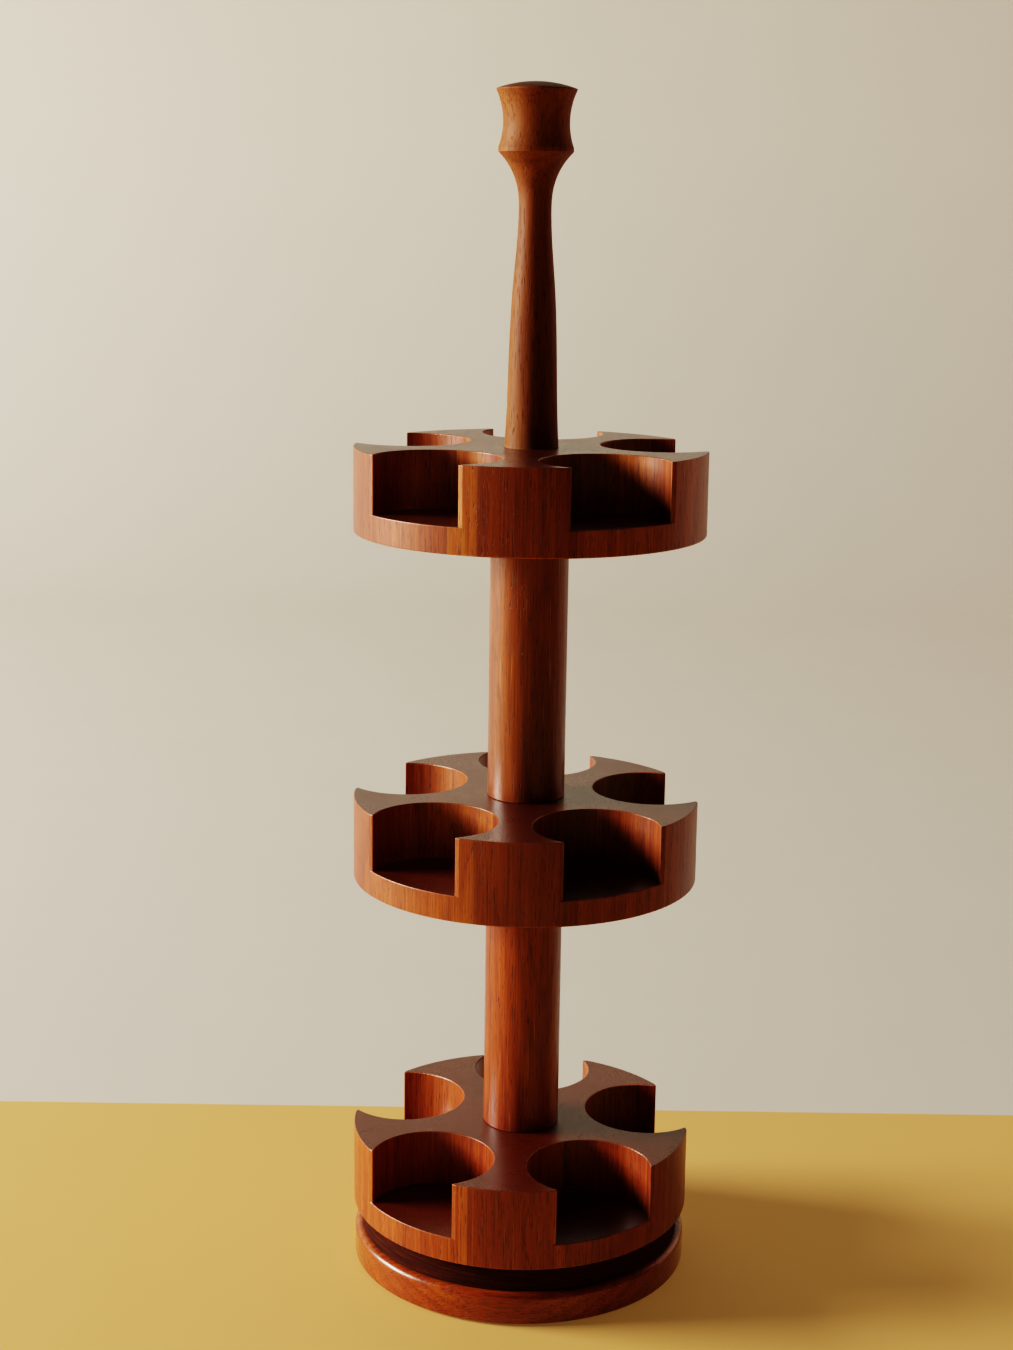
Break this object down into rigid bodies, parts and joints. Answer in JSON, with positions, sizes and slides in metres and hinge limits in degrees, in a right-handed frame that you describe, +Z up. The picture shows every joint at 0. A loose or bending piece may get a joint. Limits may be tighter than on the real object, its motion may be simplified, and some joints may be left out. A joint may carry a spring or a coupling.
{
  "type": "revolving jar stand",
  "caption": "Tiered round wooden carousel that spins on its base, with open-fronted round pockets for small jars and a turned carrying handle on top.",
  "frame": {"origin": "middle of the underside, on the axis that the tower turns on", "axes": "+Z up along the turning axis; one prong of each shelf points to -Y, the side that faces the viewer"},
  "size_m": [0.134, 0.134, 0.4595],
  "materials": {
    "teak": "oiled satin",
    "beech": "raw",
    "zinc_steel": "zinc plated",
    "ball_steel": "polished",
    "brass": "turned",
    "dark_board": "dark brown, matt",
    "felt": "felt"
  },
  "bodies": {
    "base": {"base_felt": "felt", "base_disc": "teak", "pivot_bush": "brass", "lower_race": "zinc_steel", "lower_race_screws": "zinc_steel", "gap_ring": "dark_board"},
    "tower": {"upper_race": "zinc_steel", "upper_race_screws": "zinc_steel", "pivot_bolt": "zinc_steel", "thrust_washer": "zinc_steel", "threaded_insert": "brass", "bottom_shelf": "teak", "lower_dowel": "beech", "lower_post": "teak", "middle_shelf": "teak", "middle_dowel": "beech", "upper_post": "teak", "top_shelf": "teak", "upper_dowel": "beech", "handle": "teak"},
    "bearing": {"ball_cage": "brass", "bearing_balls": "ball_steel"}
  },
  "joints": [
    {"name": "tower_spin", "type": "hinge", "parent": "base", "child": "tower", "pos_m": [0, 0, 0.01825], "axis": [0, 0, 1], "continuous": true},
    {"name": "cage_spin", "type": "hinge", "parent": "base", "child": "bearing", "pos_m": [0, 0, 0.01825], "axis": [0, 0, 1], "continuous": true}
  ],
  "couplings": [
    {"joint": "cage_spin", "follows": "tower_spin", "ratio": 0.5}
  ]
}
